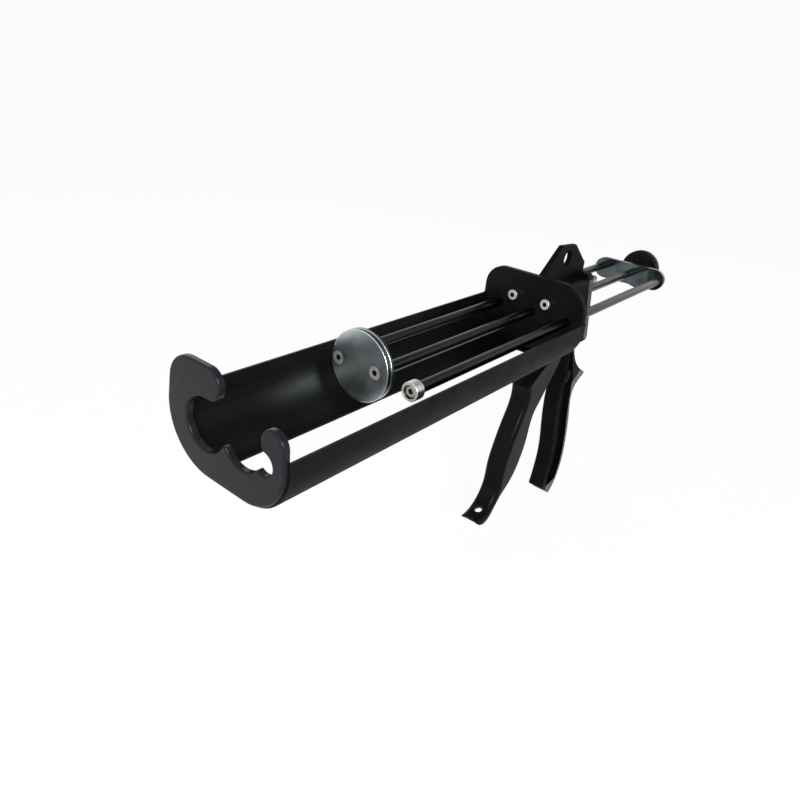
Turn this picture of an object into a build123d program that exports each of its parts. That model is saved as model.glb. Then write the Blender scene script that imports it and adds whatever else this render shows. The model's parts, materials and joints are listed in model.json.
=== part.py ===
from build123d import *
import math
import os

# Hand-operated gun for two-part cartridges: a large and a small tube lie side by side in a
# slotted trough, and three rods joined by a rear bridge push a large and a small plunger.
# Millimetres. While modelling, X runs along the rods towards the user, the drive rod lies on
# the X axis, Z is up and x = 0 is the front face of the rear plate. On export the origin moves
# to the centre of the hang hole.

# Trough that holds the cartridge
BAY_LENGTH = 255.1
BAY_HALF_WIDTH = 38.4
BAY_DEPTH = 27.6
NEAR_CORNER_DROP = 2.6
WALL_TOP = 3.6
NEAR_WALL_DROP = 1.2
SHEET = 1.2
REAR_PROUD = 1.4
SLOT_WIDTH = 26.8
SLOT_END_STRIP = 4.0

# Front plate with one hooked seat for each cartridge neck
FRONT_THICKNESS = 3.2
FRONT_PROUD = 2.4
FRONT_EDGE_RADIUS = 1.1
LOBE_SIDE = 34.4
LOBE_CORNER = 15.0
HOOK_TOP = 27.0
HOOK_REACH_Y = 0.9
LARGE_SEAT_RADIUS = 12.8
LARGE_SEAT_Y = 11.7
SEAT_DROP = 1.2
SCOOP_RADIUS = 12.2
SCOOP_Y = -12.6
LIP_Z = -6.3
LIP_ROUND = 0.7
SMALL_SEAT_RADIUS = 5.4
SMALL_SEAT_DROP = 3.0
SMALL_HEAD_RADIUS = 7.0
SMALL_HEAD_Z = 7.4

# Rear plate
REAR_THICKNESS = 4.0
REAR_TOP = 25.2
REAR_NEAR_CORNER = 20.0
REAR_FAR_CORNER = 14.0
REAR_EDGE_RADIUS = 0.8
PLATE_SCREW_SPACING = 25.3
PLATE_SCREW_OFFSET_Y = 2.0
PLATE_SCREW_Z = 8.7
PLATE_SCREW_DIAMETER = 4.0
PLATE_SCREW_HEAD = 7.0
PLATE_SCREW_HEAD_HEIGHT = 4.0
HEX_SOCKET = 3.0
RIVET_SPACING = 26.4
RIVET_Z = -1.4
RIVET_DIAMETER = 3.0
RIVET_HEAD = 4.4
RIVET_HEAD_HEIGHT = 0.9

# Rods and what they carry
ROD_DIAMETER = 6.4
ROD_SPACING = 26.0
ROD_RUNNING_GAP = 0.08
PLUNGER_X = -162.7
PLUNGER_SCREW_MARGIN = 4.8
PLUNGER_DIAMETER = 40.0
PLUNGER_FACE_THICKNESS = 2.4
PLUNGER_SEAL_THICKNESS = 0.8
PLUNGER_SEAL_INSET = 0.5
PLUNGER_BACK_THICKNESS = 1.6
PLUNGER_SCREW_DIAMETER = 4.0
PLUNGER_SCREW_HEAD = 7.4
PLUNGER_SCREW_LENGTH = 14.0
PLUNGER_EDGE_RADIUS = 0.35
SMALL_PLUNGER_AHEAD = 3.2
SMALL_PLUNGER_DIAMETER = 10.4
SMALL_PLUNGER_LENGTH = 6.0
SMALL_PLUNGER_CUP = 7.4
SMALL_PLUNGER_CUP_DEPTH = 3.4
SMALL_SCREW_HEAD_HEIGHT = 2.4
SMALL_SCREW_LENGTH = 12.0
BRIDGE_X = 169.3
BRIDGE_OVERHANG = 5.0
BRIDGE_HEIGHT = 17.6
BRIDGE_THICKNESS = 3.5
BRIDGE_SCREW_HEAD = 8.0
BRIDGE_SCREW_HEAD_HEIGHT = 2.6
BRIDGE_SCREW_LENGTH = 12.0
LOCK_NUT_FLATS = 11.0
LOCK_NUT_HEIGHT = 5.0
KNOB_X = 192.5
KNOB_DIAMETER = 33.0
KNOB_RIM = 5.0
KNOB_CROWN = 4.0
KNOB_HUB_DIAMETER = 13.0
KNOB_HUB_LENGTH = 8.0
KNOB_BORE_DEPTH = 14.0
KNOB_EDGE_RADIUS = 1.6

# Cast body: pad behind the rear plate, housing, rear flange, ear and grip
PAD_THICKNESS = 6.0
PAD_HALF_WIDTH = 20.5
PAD_TOP = 22.0
PAD_BOTTOM = -24.0
PAD_CORNER = 6.0
CAVITY_LENGTH = 50.0
CAVITY_HALF_WIDTH = 8.6
CAVITY_TOP = 9.5
HOUSING_WALL = 4.0
HOUSING_TOP = 16.0
HOUSING_BOTTOM = -29.0
HOUSING_CORNER = 4.0
FLANGE_THICKNESS = 8.0
FLANGE_TOP = 19.5
FLANGE_BOTTOM = -34.0
FLANGE_TOP_HALF = 11.0
FLANGE_BOTTOM_HALF = 17.2
FLANGE_CORNER = 5.0
FLANGE_EDGE_RADIUS = 1.2
CAST_FILLET = 1.5
EAR_THICKNESS = 3.6
EAR_HOLE_X = 37.3
EAR_HOLE_Z = 32.3
EAR_HOLE_DIAMETER = 11.0
EAR_APEX_FRONT = (26.0, 42.6)
EAR_APEX_REAR = (47.5, 41.2)
EAR_FOOT_FRONT = (4.5, 25.4)
EAR_FOOT_REAR_Z = 25.6
EAR_ROUND = 4.0
EAR_EDGE_RADIUS = 0.8
GRIP_WIDTH = 13.5
GRIP_RIM_WIDTH = 3.8
GRIP_POCKET_DEPTH = 4.0
GRIP_NECK_FOOT_Z = -80.0
GRIP_EDGE_RADIUS = 0.9
GRIP_FRONT_RADIUS = 3.4
# Grip points: how far behind the flange's rear face, and height from the drive rod
GRIP_FRONT = [(-4.1, -93.6), (0.2, -117.6), (4.6, -142.0), (3.4, -160.0), (0.8, -174.4)]
GRIP_BACK = [(18.9, -187.6), (28.5, -175.0), (32.5, -154.0), (30.0, -131.0), (24.7, -107.2), (21.0, -88.0)]
HORN_TIP_LOW = (34.0, -75.6)
HORN_TIP_HIGH = (35.6, -72.2)
HORN_TIP_RUN = (1.0, 0.3)
HORN_SADDLE = [(22.9, -64.8), (11.7, -54.4), (5.0, -43.2)]
HORN_ROOT_Z = -34.0
GRIP_POCKET_SHOULDER = [(15.0, -72.0), (8.5, -58.0), (2.5, -46.0)]
GRIP_NECK_SETBACK = 4.5
STOP_PIN_BEHIND = 1.5
STOP_PIN_Z = -67.0
STOP_PIN_DIAMETER = 5.0
STOP_BOSS_DIAMETER = 10.0
STOP_BOSS_PROUD = 0.8
STOP_PIN_PROUD = 1.4

# Trigger and the drive inside the housing
PIVOT_AHEAD = 10.0
PIVOT_Z = -21.0
PIVOT_PIN_DIAMETER = 6.0
PIVOT_RUNNING_GAP = 0.05
PIVOT_BOSS_RADIUS = 7.0
PIVOT_PIN_PROUD = 1.8
CIRCLIP_THICKNESS = 0.8
CIRCLIP_DIAMETER = 9.4
TRIGGER_WIDTH = 16.0
TRIGGER_CHEEK = 2.8
TRIGGER_WALL_SHIFT = (2.6, -2.6)
TRIGGER_NOSE_RADIUS = 4.0
# Trigger points: how far from the pivot along the rods, and height from the drive rod
TRIGGER_FRONT = [
    (-46.0, -58.0),
    (-45.0, -73.0),
    (-51.0, -87.0),
    (-58.5, -106.0),
    (-62.4, -122.0),
    (-63.6, -137.0),
    (-70.5, -149.5),
    (-86.3, -156.0),
]
TRIGGER_BACK = [
    (-85.6, -159.0),
    (-74.5, -161.0),
    (-61.0, -147.0),
    (-47.0, -135.0),
    (-38.0, -120.0),
    (-33.6, -104.0),
    (-31.6, -88.0),
    (-24.5, -76.0),
]
TRIGGER_WEB_FRONT = (-13.0, -38.5)
TRIGGER_WEB_BACK = (-3.1, -48.0)
TOE_HOLE_DIAMETER = 6.0
TOE_HOLE_AHEAD = 76.0
THRUST_AHEAD = 2.0
THRUST_PIN_DIAMETER = 7.0
THRUST_PIN_RISE = 10.0
THRUST_HEAD_RADIUS = 5.0
THRUST_GAP = 0.3
DRIVE_PLATE_THICKNESS = 3.0
DRIVE_PLATE_GAP = 0.3
DRIVE_PLATE_HALF_WIDTH = 8.0
DRIVE_PLATE_TOP = 8.6
DRIVE_PLATE_SHOULDER = -4.5
DRIVE_TONGUE_HALF_WIDTH = 4.6
DRIVE_TONGUE_BOTTOM = -16.0
DRIVE_SPRING_WIRE = 1.4
DRIVE_SPRING_RADIUS = 5.4
DRIVE_SPRING_TURNS = 7
SPRING_SEAT_GAP = 0.25

# Release plate behind the flange
RELEASE_PIN_DIAMETER = 3.0
RELEASE_PIN_Z = 12.5
RELEASE_PIN_BEHIND = 4.6
RELEASE_PLATE_THICKNESS = 2.4
RELEASE_PLATE_WIDTH = 15.0
RELEASE_KNUCKLE_RADIUS = 2.9
RELEASE_PLATE_BOTTOM = -33.0
RELEASE_TAB_LENGTH = 11.0
RELEASE_BEND_RADIUS = 3.0
RELEASE_ROD_GAP = 0.4
RELEASE_LUG_THICKNESS = 2.6
RELEASE_LUG_GAP = 0.4
RELEASE_LUG_RADIUS = 3.6
RELEASE_SPRING_WIRE = 0.9
RELEASE_SPRING_RADIUS = 5.2
RELEASE_SPRING_TURNS = 4
RELEASE_SPRING_POCKET_DEPTH = 5.0
RELEASE_SPRING_POCKET_GAP = 0.5

# Places that follow from the sizes above
BAY_FRONT = -BAY_LENGTH
GUTTER_Y = BAY_HALF_WIDTH - BAY_DEPTH
FRONT_FACE = BAY_FRONT - FRONT_THICKNESS
CAST_FRONT = REAR_THICKNESS
CAVITY_FRONT = CAST_FRONT + PAD_THICKNESS
CAVITY_REAR = CAVITY_FRONT + CAVITY_LENGTH
FLANGE_REAR = CAVITY_REAR + FLANGE_THICKNESS
HOUSING_HALF_WIDTH = CAVITY_HALF_WIDTH + HOUSING_WALL
PLUNGER_Y = ROD_SPACING + PLUNGER_SCREW_MARGIN - PLUNGER_DIAMETER / 2
PLUNGER_STACK = PLUNGER_FACE_THICKNESS + PLUNGER_SEAL_THICKNESS + PLUNGER_BACK_THICKNESS
LARGE_ROD_FRONT = PLUNGER_X + PLUNGER_STACK
SMALL_PLUNGER_FRONT = PLUNGER_X - SMALL_PLUNGER_AHEAD
SMALL_ROD_FRONT = SMALL_PLUNGER_FRONT + SMALL_PLUNGER_LENGTH
BRIDGE_LENGTH = 2 * (ROD_SPACING + BRIDGE_OVERHANG)
PIVOT_X = CAVITY_REAR - PIVOT_AHEAD
THRUST_X = PIVOT_X - THRUST_AHEAD
THRUST_Z = PIVOT_Z + THRUST_PIN_RISE
DRIVE_REAR = THRUST_X - THRUST_PIN_DIAMETER / 2 - THRUST_GAP
DRIVE_FRONT = DRIVE_REAR - 2 * DRIVE_PLATE_THICKNESS
GRIP_NECK_X = FLANGE_REAR - GRIP_NECK_SETBACK
STOP_PIN_X = FLANGE_REAR + STOP_PIN_BEHIND
RELEASE_PIN_X = FLANGE_REAR + RELEASE_PIN_BEHIND
RELEASE_FRONT = RELEASE_PIN_X - RELEASE_PLATE_THICKNESS / 2
ROD_RADIUS = ROD_DIAMETER / 2
PLATE_SCREW_PLACES = [
    (PLATE_SCREW_OFFSET_Y + side * PLATE_SCREW_SPACING / 2, PLATE_SCREW_Z) for side in (1, -1)
]
RIVET_PLACES = [(side * RIVET_SPACING / 2, RIVET_Z) for side in (1, -1)]


def save(part, name):
    """Writes one piece, with the origin at the centre of the hang hole."""
    export_step(Pos(-EAR_HOLE_X, 0, -EAR_HOLE_Z) * part, f"parts/{name}.step")


def across(face, start, length):
    """Extrudes a face drawn in Y and Z from x = start along +X."""
    return extrude(Plane.YZ.offset(start) * face, length)


def sideways(face, half_width, centre=0.0):
    """Extrudes a face drawn in X and Z to both sides of y = centre."""
    plane = Plane((0, centre, 0), x_dir=(1, 0, 0), z_dir=(0, -1, 0))
    return extrude(plane * face, half_width, both=True)


def rod_along_x(radius, start, length, y=0.0, z=0.0):
    """Round bar along +X."""
    return across(Pos(y, z) * Circle(radius), start, length)


def pin_along_y(radius, length, x, z, centre=0.0):
    """Round bar along Y, centred on y = centre."""
    return sideways(Pos(x, z) * Circle(radius), length / 2, centre)


def rim_curves(part, half_width):
    """Curved edges of the two outer sides of a piece, from the front to the back."""
    rims = part.edges().filter_by(lambda e: abs(abs(e.center().Y) - half_width) < 0.01)
    return rims.filter_by(GeomType.BSPLINE).sort_by(Axis.X)


def bay_section(grow, top):
    """Section across the bay, with a full round gutter on the far side."""
    floor = -(BAY_DEPTH + grow)
    half = BAY_HALF_WIDTH + grow
    face = Pos(0, (top + floor) / 2) * Rectangle(2 * half, top - floor)
    near = face.vertices().sort_by(Axis.X)[:2].sort_by(Axis.Y)[0]
    face = fillet(near, BAY_DEPTH - NEAR_CORNER_DROP + grow)
    far = face.vertices().sort_by(Axis.X)[-2:].sort_by(Axis.Y)[0]
    return fillet(far, BAY_DEPTH + grow)


def beyond(x, points):
    """Points whose first number is measured along X from x."""
    return [(x + run, z) for run, z in points]


def block(low_y, high_y, low_z, high_z):
    """Rectangle given by its limits in Y and Z."""
    return Pos((low_y + high_y) / 2, (low_z + high_z) / 2) * Rectangle(high_y - low_y, high_z - low_z)


def make_cradle():
    """Sheet trough with a long slot in its floor, wrapped round both end plates."""
    start = FRONT_FACE + FRONT_PROUD
    length = REAR_THICKNESS - REAR_PROUD - start
    shell = bay_section(SHEET, WALL_TOP) - bay_section(0, WALL_TOP + SHEET)
    trough = across(shell, start, length)
    slot_length = BAY_LENGTH - 2 * SLOT_END_STRIP
    slot = block(-SLOT_WIDTH / 2, SLOT_WIDTH / 2, -BAY_DEPTH - 2 * SHEET, -BAY_DEPTH + SHEET)
    trough -= across(slot, BAY_FRONT + SLOT_END_STRIP, slot_length)
    low_rim = WALL_TOP - NEAR_WALL_DROP
    trim = block(-BAY_HALF_WIDTH - 2 * SHEET, 0, low_rim, WALL_TOP + SHEET)
    return trough - across(trim, start, length)


def front_outline():
    """Outline of the hooked front plate, open at the top between its two hooks."""
    hook_radius = (HOOK_TOP + SEAT_DROP - LARGE_SEAT_RADIUS) / 2
    hook_y = HOOK_REACH_Y + hook_radius
    span = math.hypot(LOBE_SIDE - GUTTER_Y, HOOK_TOP)
    lean = math.atan2(HOOK_TOP, LOBE_SIDE - GUTTER_Y) - math.acos(BAY_DEPTH / span)
    touch = (GUTTER_Y + BAY_DEPTH * math.cos(lean), BAY_DEPTH * math.sin(lean))
    gutter = block(GUTTER_Y, BAY_HALF_WIDTH, LIP_Z, touch[1])
    gutter &= Pos(GUTTER_Y, 0) * Circle(BAY_DEPTH)
    lobe = Polygon((hook_y, LIP_Z), touch, (LOBE_SIDE, HOOK_TOP), (hook_y, HOOK_TOP), align=None)
    corner = lobe.vertices().sort_by(Axis.Y)[-2:].sort_by(Axis.X)[-1]
    plate = bay_section(0, WALL_TOP) - block(0, BAY_HALF_WIDTH, 0, WALL_TOP)
    plate += [gutter, fillet(corner, LOBE_CORNER)]
    plate -= Pos(LARGE_SEAT_Y, -SEAT_DROP) * Circle(LARGE_SEAT_RADIUS)
    plate -= Pos(SCOOP_Y, 0) * Circle(SCOOP_RADIUS)
    throat_end = -ROD_SPACING - SMALL_SEAT_RADIUS / 2
    plate -= block(throat_end, LARGE_SEAT_Y, LIP_Z, LARGE_SEAT_RADIUS - SEAT_DROP)
    plate += Pos(hook_y, HOOK_TOP - hook_radius) * Circle(hook_radius)
    head_y = -BAY_HALF_WIDTH + SMALL_HEAD_RADIUS
    plate += block(-BAY_HALF_WIDTH, head_y, 0, SMALL_HEAD_Z)
    plate += Pos(head_y, SMALL_HEAD_Z) * Circle(SMALL_HEAD_RADIUS)
    plate -= Pos(-ROD_SPACING, -SMALL_SEAT_DROP) * Circle(SMALL_SEAT_RADIUS)
    mouth = [
        v
        for v in plate.vertices()
        if throat_end < v.X < LARGE_SEAT_Y / 2 and -SCOOP_RADIUS < v.Y < SMALL_HEAD_Z
    ]
    return fillet(mouth, LIP_ROUND)


def make_front_plate():
    """Thick hooked plate let into the front end of the trough."""
    plate = across(front_outline(), FRONT_FACE, FRONT_THICKNESS)
    rim = plate.faces().sort_by(Axis.X)[0].outer_wire().edges()
    return fillet(rim, FRONT_EDGE_RADIUS)


def make_rear_plate():
    """Plate that closes the trough, guides the rods and carries the body."""
    upper = block(-BAY_HALF_WIDTH, BAY_HALF_WIDTH + SHEET, WALL_TOP, REAR_TOP)
    near = upper.vertices().sort_by(Axis.X)[:2].sort_by(Axis.Y)[-1]
    upper = fillet(near, REAR_NEAR_CORNER)
    far = upper.vertices().sort_by(Axis.X)[-2:].sort_by(Axis.Y)[-1]
    outline = bay_section(0, WALL_TOP) + fillet(far, REAR_FAR_CORNER)
    plate = across(outline, 0, REAR_THICKNESS)
    edge = plate.faces().sort_by(Axis.X)[0].outer_wire().edges()
    plate = fillet(edge.filter_by(lambda e: e.center().Z > WALL_TOP), REAR_EDGE_RADIUS)
    for y in (ROD_SPACING, 0, -ROD_SPACING):
        plate -= rod_along_x(ROD_RADIUS + ROD_RUNNING_GAP, 0, REAR_THICKNESS, y)
    for y, z in PLATE_SCREW_PLACES:
        plate -= rod_along_x(PLATE_SCREW_DIAMETER / 2, 0, REAR_THICKNESS, y, z)
    for y, z in RIVET_PLACES:
        plate -= rod_along_x(RIVET_DIAMETER / 2, 0, REAR_THICKNESS, y, z)
    return plate


def socket_screw(head_diameter, head_height, shank_diameter, shank_length):
    """Socket-head screw: head in front of x = 0, shank behind it."""
    head = rod_along_x(head_diameter / 2, -head_height, head_height)
    head = fillet(head.faces().sort_by(Axis.X)[0].edges(), head_height / 10)
    socket = across(RegularPolygon(HEX_SOCKET / 2, 6, major_radius=False), -head_height, head_height / 2)
    return head - socket + rod_along_x(shank_diameter / 2, 0, shank_length)


def make_plate_screws():
    """Two screws that hold the cast body to the rear plate."""
    length = REAR_THICKNESS + PAD_THICKNESS
    screw = socket_screw(PLATE_SCREW_HEAD, PLATE_SCREW_HEAD_HEIGHT, PLATE_SCREW_DIAMETER, length)
    return Compound(children=[Pos(0, y, z) * screw for y, z in PLATE_SCREW_PLACES])


def make_rivets():
    """Two low-headed rivets below the screws."""
    head = Plane.YZ * Circle(RIVET_HEAD / 2)
    head = extrude(head, -RIVET_HEAD_HEIGHT, taper=30)
    rivet = head + rod_along_x(RIVET_DIAMETER / 2, 0, REAR_THICKNESS + PAD_THICKNESS)
    return Compound(children=[Pos(0, y, z) * rivet for y, z in RIVET_PLACES])


def grip_outline():
    """Side outline of the grip: front curve, raked foot, back curve and thumb horn."""
    top_front = (GRIP_NECK_X, FLANGE_BOTTOM + FLANGE_CORNER)
    top_rear = (FLANGE_REAR, FLANGE_BOTTOM + FLANGE_CORNER)
    neck = (GRIP_NECK_X, GRIP_NECK_FOOT_Z)
    root = (FLANGE_REAR, HORN_ROOT_Z)
    front = beyond(FLANGE_REAR, GRIP_FRONT)
    back = beyond(FLANGE_REAR, GRIP_BACK)
    tip_low, tip_high, *saddle = beyond(FLANGE_REAR, [HORN_TIP_LOW, HORN_TIP_HIGH, *HORN_SADDLE])
    edges = [
        Line(top_front, neck),
        Spline(neck, *front),
        Line(front[-1], back[0]),
        Spline(*back, tip_low),
        TangentArc(tip_low, tip_high, tangent=HORN_TIP_RUN),
        Spline(tip_high, *saddle, root),
        Line(root, top_rear),
        Line(top_rear, top_front),
    ]
    return make_face(edges)


def grip_panel():
    """Recessed panel of the grip, inside an even rim."""
    front = beyond(FLANGE_REAR + GRIP_RIM_WIDTH, GRIP_FRONT[:-1])
    back = beyond(FLANGE_REAR - GRIP_RIM_WIDTH, GRIP_BACK[1:])
    foot_x = FLANGE_REAR + (GRIP_FRONT[-1][0] + GRIP_BACK[0][0]) / 2
    foot_z = (GRIP_FRONT[-1][1] + GRIP_BACK[0][1]) / 2 + GRIP_RIM_WIDTH
    shoulder = beyond(FLANGE_REAR, GRIP_POCKET_SHOULDER)
    top_front = (GRIP_NECK_X + GRIP_RIM_WIDTH, shoulder[-1][1])
    return make_face(
        [
            Spline(*front),
            Polyline(front[-1], (foot_x, foot_z), back[0]),
            Spline(*back),
            Polyline(back[-1], *shoulder, top_front, front[0]),
        ]
    )


def make_grip():
    """Grip with a recessed panel on each side and a boss for the stop pin."""
    grip = sideways(grip_outline(), GRIP_WIDTH / 2)
    grip = fillet(rim_curves(grip, GRIP_WIDTH / 2)[2:], GRIP_EDGE_RADIUS)
    grip = fillet(rim_curves(grip, GRIP_WIDTH / 2)[:2], GRIP_FRONT_RADIUS)
    panel = grip_panel()
    for side in (1, -1):
        centre = side * (GRIP_WIDTH / 2 - GRIP_POCKET_DEPTH / 2)
        grip -= sideways(panel, GRIP_POCKET_DEPTH / 2, centre)
    boss_length = GRIP_WIDTH + 2 * STOP_BOSS_PROUD
    return grip + pin_along_y(STOP_BOSS_DIAMETER / 2, boss_length, STOP_PIN_X, STOP_PIN_Z)


def make_ear():
    """Upright web along the top of the body with the hang hole."""
    outline = Polygon(
        (EAR_FOOT_FRONT[0], CAVITY_TOP),
        EAR_FOOT_FRONT,
        EAR_APEX_FRONT,
        EAR_APEX_REAR,
        (FLANGE_REAR, EAR_FOOT_REAR_Z),
        (FLANGE_REAR, CAVITY_TOP),
        align=None,
    )
    apex = [v for v in outline.vertices() if v.Y > EAR_HOLE_Z]
    outline = fillet(apex, EAR_ROUND)
    ear = sideways(outline, EAR_THICKNESS / 2)
    sides = ear.faces().filter_by(Axis.Y)
    ear = fillet(sides.edges(), EAR_EDGE_RADIUS)
    return ear - pin_along_y(EAR_HOLE_DIAMETER / 2, 2 * EAR_THICKNESS, EAR_HOLE_X, EAR_HOLE_Z)


def make_release_lugs():
    """Two lugs on the flange that carry the release plate's pin."""
    inner = RELEASE_PLATE_WIDTH / 2 + RELEASE_LUG_GAP
    reach = Pos(RELEASE_PIN_X, RELEASE_PIN_Z) * Circle(RELEASE_LUG_RADIUS)
    foot = (FLANGE_REAR - FLANGE_THICKNESS / 2 + RELEASE_PIN_X) / 2
    width = RELEASE_PIN_X - FLANGE_REAR + FLANGE_THICKNESS / 2
    lug = reach + Pos(foot, RELEASE_PIN_Z) * Rectangle(width, 2 * RELEASE_LUG_RADIUS)
    lug -= Pos(RELEASE_PIN_X, RELEASE_PIN_Z) * Circle(RELEASE_PIN_DIAMETER / 2)
    centre = inner + RELEASE_LUG_THICKNESS / 2
    half = RELEASE_LUG_THICKNESS / 2
    return sideways(lug, half, centre) + sideways(lug, half, -centre)


def make_casting():
    """One casting: pad, housing, rear flange, ear, release lugs and fixed grip."""
    pad = block(-PAD_HALF_WIDTH, PAD_HALF_WIDTH, PAD_BOTTOM, PAD_TOP)
    body = across(fillet(pad.vertices(), PAD_CORNER), CAST_FRONT, PAD_THICKNESS)
    tube = block(-HOUSING_HALF_WIDTH, HOUSING_HALF_WIDTH, HOUSING_BOTTOM, HOUSING_TOP)
    tube = fillet(tube.vertices().group_by(Axis.Y)[-1], HOUSING_CORNER)
    body += across(tube, CAST_FRONT, CAVITY_REAR - CAST_FRONT)
    root = body.edges().filter_by_position(Axis.X, CAVITY_FRONT, CAVITY_FRONT)
    root = root.filter_by_position(Axis.Y, -HOUSING_HALF_WIDTH, HOUSING_HALF_WIDTH)
    body = fillet(root.filter_by_position(Axis.Z, HOUSING_BOTTOM, HOUSING_TOP), CAST_FILLET)
    flange = Polygon(
        (-FLANGE_BOTTOM_HALF, FLANGE_BOTTOM),
        (FLANGE_BOTTOM_HALF, FLANGE_BOTTOM),
        (FLANGE_TOP_HALF, FLANGE_TOP),
        (-FLANGE_TOP_HALF, FLANGE_TOP),
        align=None,
    )
    flange = across(fillet(flange.vertices(), FLANGE_CORNER), CAVITY_REAR, FLANGE_THICKNESS)
    body += fillet(flange.faces().filter_by(Axis.X).edges(), FLANGE_EDGE_RADIUS)
    body += make_ear()
    body += make_grip()
    body += make_release_lugs()
    cavity = block(-CAVITY_HALF_WIDTH, CAVITY_HALF_WIDTH, HOUSING_BOTTOM - HOUSING_WALL, CAVITY_TOP)
    body -= across(cavity, CAVITY_FRONT, CAVITY_LENGTH)
    body -= rod_along_x(ROD_RADIUS + ROD_RUNNING_GAP, CAST_FRONT, FLANGE_REAR - CAST_FRONT)
    pocket_radius = RELEASE_SPRING_RADIUS + RELEASE_SPRING_WIRE / 2 + RELEASE_SPRING_POCKET_GAP
    pocket_start = FLANGE_REAR - RELEASE_SPRING_POCKET_DEPTH
    body -= rod_along_x(pocket_radius, pocket_start, RELEASE_SPRING_POCKET_DEPTH)
    for y, z in PLATE_SCREW_PLACES:
        body -= rod_along_x(PLATE_SCREW_DIAMETER / 2, CAST_FRONT, PAD_THICKNESS, y, z)
    for y, z in RIVET_PLACES:
        body -= rod_along_x(RIVET_DIAMETER / 2, CAST_FRONT, PAD_THICKNESS, y, z)
    body -= pin_along_y(PIVOT_PIN_DIAMETER / 2, 4 * HOUSING_HALF_WIDTH, PIVOT_X, PIVOT_Z)
    body -= pin_along_y(STOP_PIN_DIAMETER / 2, 4 * GRIP_WIDTH, STOP_PIN_X, STOP_PIN_Z)
    return body


def make_pivot_pin():
    """Pin that the trigger swings on, held in the housing walls."""
    length = 2 * (HOUSING_HALF_WIDTH + PIVOT_PIN_PROUD)
    pin = pin_along_y(PIVOT_PIN_DIAMETER / 2, length, PIVOT_X, PIVOT_Z)
    return chamfer(pin.edges().filter_by(GeomType.CIRCLE), PIVOT_PIN_DIAMETER / 12)


def make_circlips():
    """Retaining rings on both ends of the pivot pin."""
    ring = Circle(CIRCLIP_DIAMETER / 2) - Circle(PIVOT_PIN_DIAMETER / 2)
    ring -= Pos(0, -CIRCLIP_DIAMETER / 2) * Rectangle(PIVOT_PIN_DIAMETER / 2, CIRCLIP_DIAMETER)
    centre = HOUSING_HALF_WIDTH + CIRCLIP_THICKNESS / 2
    place = Pos(PIVOT_X, PIVOT_Z) * ring
    return Compound(children=[sideways(place, CIRCLIP_THICKNESS / 2, side * centre) for side in (1, -1)])


def make_stop_pin():
    """Cross pin through the grip's boss."""
    length = GRIP_WIDTH + 2 * STOP_PIN_PROUD
    pin = pin_along_y(STOP_PIN_DIAMETER / 2, length, STOP_PIN_X, STOP_PIN_Z)
    return fillet(pin.edges().filter_by(GeomType.CIRCLE), STOP_PIN_DIAMETER / 10)


def trigger_outline():
    """Side outline of the trigger from its toe up to the head that pushes the drive plates."""
    head = (THRUST_X - THRUST_HEAD_RADIUS, THRUST_Z)
    boss_front = (PIVOT_X - PIVOT_BOSS_RADIUS, PIVOT_Z)
    boss_rear = (PIVOT_X + PIVOT_BOSS_RADIUS, PIVOT_Z)
    head_rear = (THRUST_X + THRUST_HEAD_RADIUS, THRUST_Z)
    front = beyond(PIVOT_X, TRIGGER_FRONT)
    back = beyond(PIVOT_X, TRIGGER_BACK)
    web_front, web_back = beyond(PIVOT_X, [TRIGGER_WEB_FRONT, TRIGGER_WEB_BACK])
    lever = make_face(
        [
            Spline(*front),
            Line(front[-1], back[0]),
            Spline(*back),
            Polyline(back[-1], web_back, boss_rear, boss_front, web_front, front[0]),
        ]
    )
    neck = Polygon(boss_front, boss_rear, head_rear, head, align=None)
    boss = Pos(PIVOT_X, PIVOT_Z) * Circle(PIVOT_BOSS_RADIUS)
    return lever + neck + boss + Pos(THRUST_X, THRUST_Z) * Circle(THRUST_HEAD_RADIUS)


def trigger_channel():
    """Space between the cheeks, behind the trigger's front wall and the web of its arm."""
    shift_x, shift_z = TRIGGER_WALL_SHIFT
    inner = [(x + shift_x, z + shift_z) for x, z in beyond(PIVOT_X, TRIGGER_FRONT)]
    behind = FLANGE_REAR
    above = -shift_z
    web_x, web_z = TRIGGER_WEB_FRONT
    web = (PIVOT_X + web_x + shift_x, web_z + shift_z)
    lead_in = (web[0], above)
    foot = (inner[-1][0] - TRIGGER_WIDTH, inner[-1][1])
    below = inner[-1][1] - TRIGGER_WIDTH
    return make_face(
        [
            Polyline(lead_in, web, inner[0]),
            Spline(*inner),
            Line(inner[-1], foot),
            Polyline(foot, (foot[0], below), (behind, below), (behind, above), lead_in),
        ]
    )


def make_trigger():
    """Channel-section trigger: rounded front wall, two cheeks and a drilled toe."""
    lever = sideways(trigger_outline(), TRIGGER_WIDTH / 2)
    lever -= sideways(trigger_channel(), TRIGGER_WIDTH / 2 - TRIGGER_CHEEK)
    hole = Circle(TOE_HOLE_DIAMETER / 2)
    heel, tip = beyond(PIVOT_X, TRIGGER_FRONT[-2:])
    rise = heel[1] - tip[1]
    run = heel[0] - tip[0]
    toe_x = PIVOT_X - TOE_HOLE_AHEAD
    toe_z = tip[1] + rise * (toe_x - tip[0]) / run
    plane = Plane((toe_x, 0, toe_z), x_dir=(run, 0, rise), z_dir=(-rise, 0, run))
    lever -= extrude(plane * hole, TRIGGER_WIDTH / 2, both=True)
    lever -= pin_along_y(
        PIVOT_PIN_DIAMETER / 2 + PIVOT_RUNNING_GAP, 2 * TRIGGER_WIDTH, PIVOT_X, PIVOT_Z
    )
    lever -= pin_along_y(THRUST_PIN_DIAMETER / 2, 2 * TRIGGER_WIDTH, THRUST_X, THRUST_Z)
    return fillet(rim_curves(lever, TRIGGER_WIDTH / 2)[:2], TRIGGER_NOSE_RADIUS)


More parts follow.
